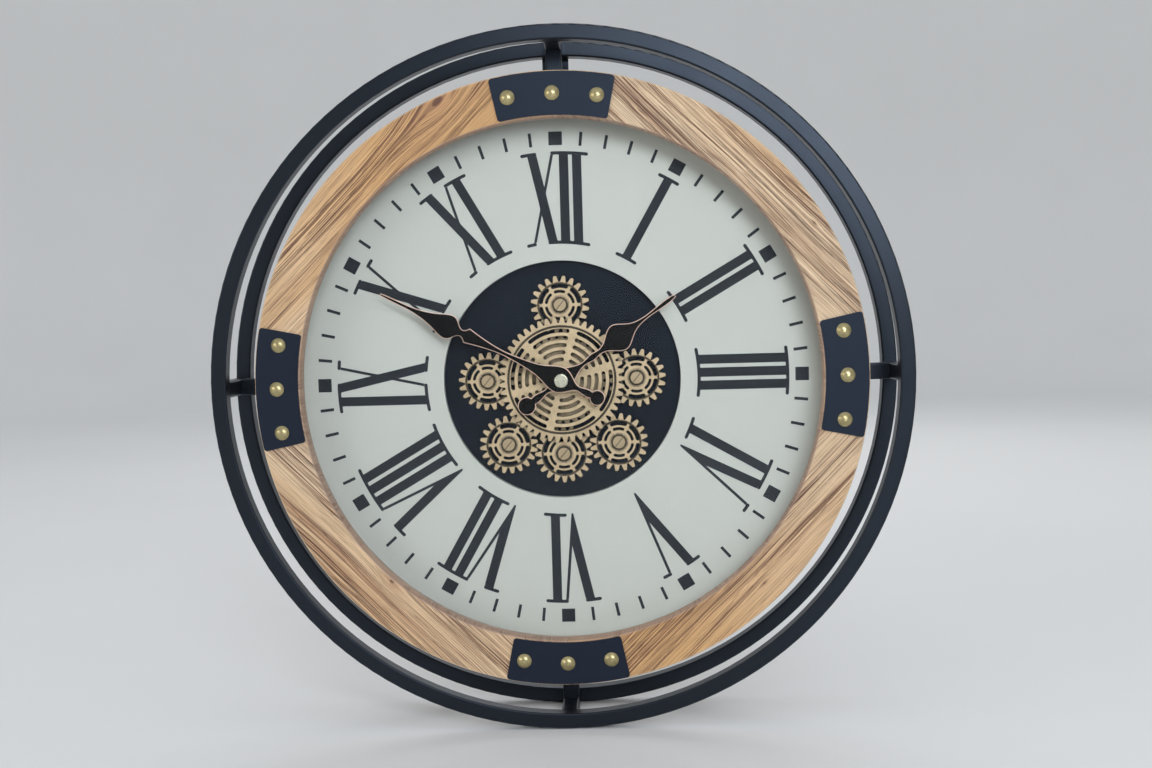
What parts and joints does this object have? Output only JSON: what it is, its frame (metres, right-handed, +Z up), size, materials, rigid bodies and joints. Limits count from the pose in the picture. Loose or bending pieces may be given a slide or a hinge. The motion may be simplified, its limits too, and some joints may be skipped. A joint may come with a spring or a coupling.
{
  "type": "wall clock",
  "caption": "Round wall clock with two open metal rings, a strapped wooden bezel, Roman dial, spade hands and a train of turning gold gears behind glass.",
  "frame": {"origin": "centre of the hanger's keyhole, on the wall plane", "axes": "+Z up, +Y back into the wall, so the dial faces -Y and three o'clock is at +X"},
  "size_m": [0.46, 0.0676, 0.46],
  "materials": {
    "black_bar": "satin black paint",
    "wood": "brushed, clear wax",
    "strap": "satin blue-black paint",
    "stud": "aged brass",
    "glass": "clear",
    "case": "raw board",
    "dial": "printed paper, matt",
    "gear_plate": "matt",
    "gear_gold": "antique gold lacquer",
    "steel": "zinc plated",
    "brass": "turned",
    "hand": "black lacquer with copper edge",
    "nut": "polished",
    "black_plastic": "moulded",
    "white_plastic": "moulded",
    "motor_can": "drawn can",
    "copper": "enamelled wire",
    "board": "solder mask",
    "cell": "printed sleeve"
  },
  "bodies": {
    "clock_body": {"front_ring": "black_bar", "rear_ring": "black_bar", "hanger_plate": "black_bar", "strut_right": "black_bar", "strut_top": "black_bar", "strut_left": "black_bar", "strut_bottom": "black_bar", "spoke_right": "black_bar", "spoke_top": "black_bar", "spoke_left": "black_bar", "spoke_bottom": "black_bar", "bezel_upper_right": "wood", "bezel_upper_left": "wood", "bezel_lower_left": "wood", "bezel_lower_right": "wood", "strap_right": "strap", "strap_top": "strap", "strap_left": "strap", "strap_bottom": "strap", "dome_studs": "stud", "front_glass": "glass", "case_ring": "case", "dial_board": "dial", "gear_plate": "gear_plate", "gear_caps": "gear_gold", "case_screws": "steel", "spoke_screws": "steel", "gearbox_screws": "steel", "gear_posts": "steel", "bush_nut": "steel", "retaining_ring": "steel", "centre_bush": "brass", "gearbox_shell": "black_plastic", "movement_case": "black_plastic", "movement_cover": "black_plastic", "battery_box": "black_plastic", "gear_motor": "motor_can", "motor_coil": "copper", "circuit_board": "board", "clock_cell": "cell", "gear_cells": "cell"},
    "minute_hand": {"minute_hand": "hand", "minute_arbor": "brass", "hand_nut": "nut"},
    "hour_hand": {"hour_hand": "hand", "hour_wheel": "white_plastic"},
    "motion_wheel": {"motion_wheel": "white_plastic", "setting_knob": "black_plastic"},
    "centre_gear": {"centre_gear": "gear_gold", "sun_gear": "gear_gold", "gear_sleeve": "white_plastic", "drive_wheel": "white_plastic"},
    "right_gear": {"gear_right": "gear_gold"},
    "top_gear": {"gear_top": "gear_gold"},
    "left_gear": {"gear_left": "gear_gold"},
    "bottom_gear": {"gear_bottom": "gear_gold"},
    "lower_right_gear": {"gear_lower_right": "gear_gold"},
    "lower_left_gear": {"gear_lower_left": "gear_gold"},
    "motor_pinion": {"motor_pinion": "white_plastic"},
    "battery_door": {"battery_door": "black_plastic"}
  },
  "joints": [
    {"name": "minute_hand_turn", "type": "hinge", "parent": "clock_body", "child": "minute_hand", "pos_m": [0, 0, -0.205], "axis": [0, 1, 0], "continuous": true},
    {"name": "hour_hand_turn", "type": "hinge", "parent": "clock_body", "child": "hour_hand", "pos_m": [0, 0, -0.205], "axis": [0, 1, 0], "continuous": true},
    {"name": "motion_wheel_turn", "type": "hinge", "parent": "clock_body", "child": "motion_wheel", "pos_m": [-0.012, 0, -0.205], "axis": [0, 1, 0], "continuous": true},
    {"name": "centre_gear_turn", "type": "hinge", "parent": "clock_body", "child": "centre_gear", "pos_m": [0, 0, -0.205], "axis": [0, 1, 0], "continuous": true},
    {"name": "right_gear_turn", "type": "hinge", "parent": "clock_body", "child": "right_gear", "pos_m": [0.05019, 0, -0.205], "axis": [0, 1, 0], "continuous": true},
    {"name": "top_gear_turn", "type": "hinge", "parent": "clock_body", "child": "top_gear", "pos_m": [0, 0, -0.15481], "axis": [0, 1, 0], "continuous": true},
    {"name": "left_gear_turn", "type": "hinge", "parent": "clock_body", "child": "left_gear", "pos_m": [-0.05019, 0, -0.205], "axis": [0, 1, 0], "continuous": true},
    {"name": "bottom_gear_turn", "type": "hinge", "parent": "clock_body", "child": "bottom_gear", "pos_m": [0, 0, -0.25519], "axis": [0, 1, 0], "continuous": true},
    {"name": "lower_right_gear_turn", "type": "hinge", "parent": "clock_body", "child": "lower_right_gear", "pos_m": [0.03725, 0, -0.24829], "axis": [0, 1, 0], "continuous": true},
    {"name": "lower_left_gear_turn", "type": "hinge", "parent": "clock_body", "child": "lower_left_gear", "pos_m": [-0.03725, 0, -0.24829], "axis": [0, 1, 0], "continuous": true},
    {"name": "motor_pinion_turn", "type": "hinge", "parent": "clock_body", "child": "motor_pinion", "pos_m": [0, 0, -0.166], "axis": [0, 1, 0], "continuous": true},
    {"name": "battery_door_slide", "type": "slide", "parent": "clock_body", "child": "battery_door", "axis": [1, 0, 0], "range_m": [0, 0.053]}
  ],
  "couplings": [
    {"joint": "hour_hand_turn", "follows": "minute_hand_turn", "ratio": 0.083333},
    {"joint": "motion_wheel_turn", "follows": "minute_hand_turn", "ratio": -0.33333},
    {"joint": "motor_pinion_turn", "follows": "centre_gear_turn", "ratio": -5.5},
    {"joint": "right_gear_turn", "follows": "centre_gear_turn", "ratio": -1.65},
    {"joint": "top_gear_turn", "follows": "centre_gear_turn", "ratio": -1.65},
    {"joint": "left_gear_turn", "follows": "centre_gear_turn", "ratio": -1.65},
    {"joint": "bottom_gear_turn", "follows": "centre_gear_turn", "ratio": -1.65},
    {"joint": "lower_right_gear_turn", "follows": "centre_gear_turn", "ratio": 1.65},
    {"joint": "lower_left_gear_turn", "follows": "centre_gear_turn", "ratio": 1.65}
  ]
}
